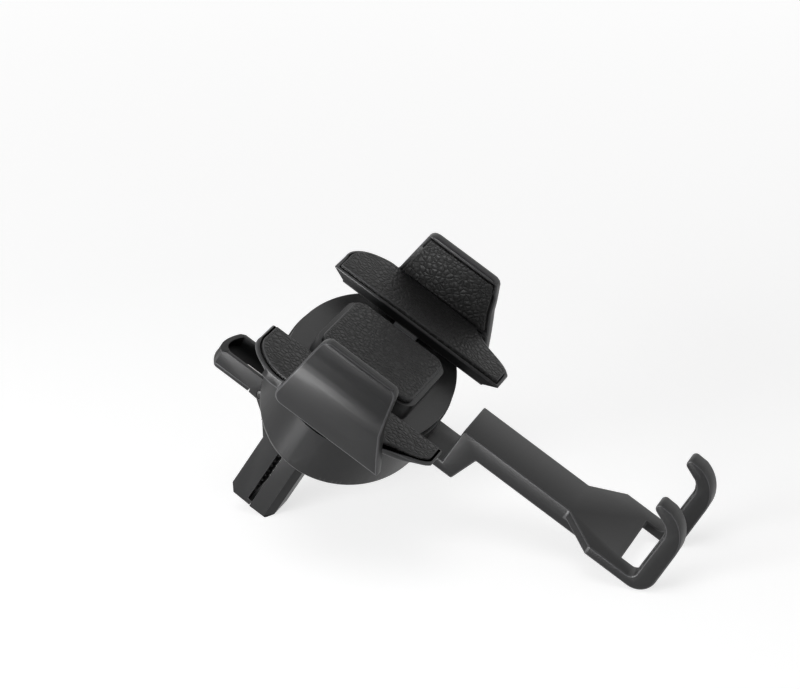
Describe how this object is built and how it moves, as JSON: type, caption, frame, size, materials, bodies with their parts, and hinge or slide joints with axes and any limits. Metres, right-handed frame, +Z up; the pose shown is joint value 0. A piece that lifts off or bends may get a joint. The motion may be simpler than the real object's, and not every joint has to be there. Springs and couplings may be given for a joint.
{
  "type": "car phone holder",
  "caption": "Air-vent phone holder: spring jaw clip, ball joint, oval body with two sliding side arms and a sliding two-hook foot.",
  "frame": {"origin": "middle of the slot between the two clip jaws, half way along it", "axes": "+Y rearwards into the vent along the jaws, +Z up, +X to the right as seen by the user facing the phone"},
  "size_m": [0.0758, 0.0685, 0.1081],
  "materials": {
    "shell_plastic": "fine satin grain, charcoal black",
    "inner_plastic": "plain moulded",
    "rubber": "leather-like grain, matt black",
    "steel": "plain zinc plated"
  },
  "bodies": {
    "clip": {"clip_body": "shell_plastic", "ball_stud": "shell_plastic", "lower_jaw_pad": "rubber", "hinge_pin": "steel", "clip_spring": "steel"},
    "lever": {"release_lever": "shell_plastic", "lever_cap": "shell_plastic", "upper_jaw_pad": "rubber"},
    "liner": {"friction_liner": "inner_plastic"},
    "ring": {"pressure_ring": "inner_plastic"},
    "cradle": {"rear_shell": "shell_plastic", "front_cover": "shell_plastic", "centre_pad": "rubber", "cover_screws": "steel"},
    "nut": {"lock_nut": "shell_plastic"},
    "foot_body": {"foot": "shell_plastic", "left_hook_pad": "rubber", "right_hook_pad": "rubber"},
    "left_clamp": {"left_arm": "shell_plastic", "left_arm_pad": "rubber", "left_wing_pad": "rubber", "left_slide": "inner_plastic"},
    "right_clamp": {"right_arm": "shell_plastic", "right_arm_pad": "rubber", "right_wing_pad": "rubber", "right_slide": "inner_plastic"}
  },
  "joints": [
    {"name": "lever_press", "type": "hinge", "parent": "clip", "child": "lever", "pos_m": [0, -0.0163, 0.0112], "axis": [1, 0, 0], "range_deg": [0, 7], "stiffness_Nm_per_rad": 0.25, "springref_deg": -34.38, "deforming": ["clip_spring"]},
    {"name": "ball_tilt", "type": "hinge", "parent": "clip", "child": "liner", "pos_m": [0, -0.0205, -0.0053], "axis": [1, 0, 0], "range_deg": [-1.5, 15]},
    {"name": "ball_yaw", "type": "hinge", "parent": "liner", "child": "ring", "pos_m": [0, -0.0205, -0.0053], "axis": [0, 0, 1], "range_deg": [-5, 5]},
    {"name": "ball_turn", "type": "hinge", "parent": "ring", "child": "cradle", "pos_m": [0, -0.0205, -0.0053], "axis": [0, 1, 0], "continuous": true},
    {"name": "nut_turn", "type": "hinge", "parent": "cradle", "child": "nut", "pos_m": [0, -0.0205, -0.0053], "axis": [0, 1, 0], "range_deg": [-60, 60]},
    {"name": "foot_slide", "type": "slide", "parent": "cradle", "child": "foot_body", "axis": [0, 0, 1], "range_m": [-0.0035, 0.005]},
    {"name": "left_slide_out", "type": "slide", "parent": "cradle", "child": "left_clamp", "axis": [-1, 0, 0], "range_m": [-0.00525, 0.0075]},
    {"name": "right_slide_out", "type": "slide", "parent": "cradle", "child": "right_clamp", "axis": [1, 0, 0], "range_m": [-0.00525, 0.0075]}
  ],
  "couplings": [
    {"joint": "left_slide_out", "follows": "foot_slide", "ratio": 1.5},
    {"joint": "right_slide_out", "follows": "foot_slide", "ratio": 1.5}
  ]
}
